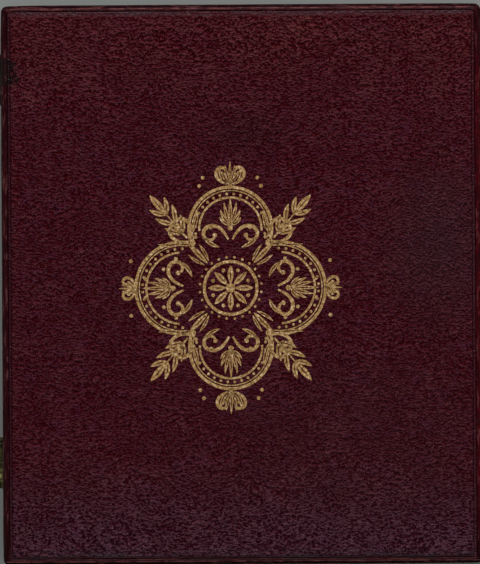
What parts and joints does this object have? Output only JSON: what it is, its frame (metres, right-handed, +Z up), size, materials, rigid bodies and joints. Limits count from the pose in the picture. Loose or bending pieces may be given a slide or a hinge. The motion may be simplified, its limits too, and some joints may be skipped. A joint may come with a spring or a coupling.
{
  "type": "daguerreotype case",
  "caption": "Leather-covered wooden folding case for a small plate picture: velvet-padded cover, tray with plate, gilt mat and glass, leather spine and brass hook clasps.",
  "frame": {"origin": "middle of the cover's outer face, on which the shut case lies", "axes": "+X from the hooks to the spine, +Y from foot to head, +Z up through the cover and the tray"},
  "size_m": [0.0833, 0.0946, 0.0176],
  "materials": {
    "grained_leather": "dark oxblood morocco with a fine drawn-out grain",
    "edging_leather": "smooth oxblood skiver, rubbed at the edges",
    "case_wood": "plain planed softwood",
    "lining_paper": "crimson lining paper over card",
    "card": "plain pasteboard",
    "wadding": "undyed cotton wadding",
    "pad_velvet": "crimson silk velvet",
    "strip_velvet": "crimson silk velvet",
    "hinge_silk": "crimson ribbed silk",
    "gilt_foil": "thin gilt sheet brass",
    "gilt_mat": "matt gilt brass",
    "sealing_paper": "gummed paper, browned",
    "silvered_plate": "polished silvered copper, tarnished at the edges",
    "cover_glass": "thin clear crown glass",
    "clasp_brass": "aged brass"
  },
  "bodies": {
    "cover": {"cover_board": "case_wood", "cover_head_rail": "case_wood", "cover_foot_rail": "case_wood", "cover_fore_rail": "case_wood", "cover_spine_rail": "case_wood", "cover_side_leather": "edging_leather", "cover_face_leather": "grained_leather", "cover_lining": "lining_paper", "pad_card": "card", "pad_wadding": "wadding", "pad_velvet": "pad_velvet", "spine_leather": "edging_leather", "hinge_silk": "hinge_silk", "upper_hook_nail": "clasp_brass", "upper_hook_washer": "clasp_brass", "lower_hook_nail": "clasp_brass", "lower_hook_washer": "clasp_brass"},
    "tray": {"tray_board": "case_wood", "tray_head_rail": "case_wood", "tray_foot_rail": "case_wood", "tray_fore_rail": "case_wood", "tray_spine_rail": "case_wood", "tray_side_leather": "edging_leather", "tray_face_leather": "grained_leather", "tray_lining": "lining_paper", "strip_card": "card", "strip_velvet": "strip_velvet", "bed_card": "card", "preserver": "gilt_foil", "sealing_tape": "sealing_paper", "picture_plate": "silvered_plate", "mat": "gilt_mat", "cover_glass": "cover_glass", "upper_stud": "clasp_brass", "upper_stud_washer": "clasp_brass", "lower_stud": "clasp_brass", "lower_stud_washer": "clasp_brass"},
    "upper_hook": {"upper_hook": "clasp_brass"},
    "lower_hook": {"lower_hook": "clasp_brass"}
  },
  "joints": [
    {"name": "case_hinge", "type": "hinge", "parent": "cover", "child": "tray", "pos_m": [0.04109, 0, 0.0088], "axis": [0, 1, 0], "range_deg": [0, 180], "deforming": ["spine_leather", "hinge_silk"]},
    {"name": "upper_hook_pivot", "type": "hinge", "parent": "cover", "child": "upper_hook", "pos_m": [-0.04052, 0.03217, 0.0058], "axis": [1, 0, 0], "range_deg": [-40, 90]},
    {"name": "lower_hook_pivot", "type": "hinge", "parent": "cover", "child": "lower_hook", "pos_m": [-0.04052, -0.03332, 0.0058], "axis": [1, 0, 0], "range_deg": [-40, 90]}
  ]
}
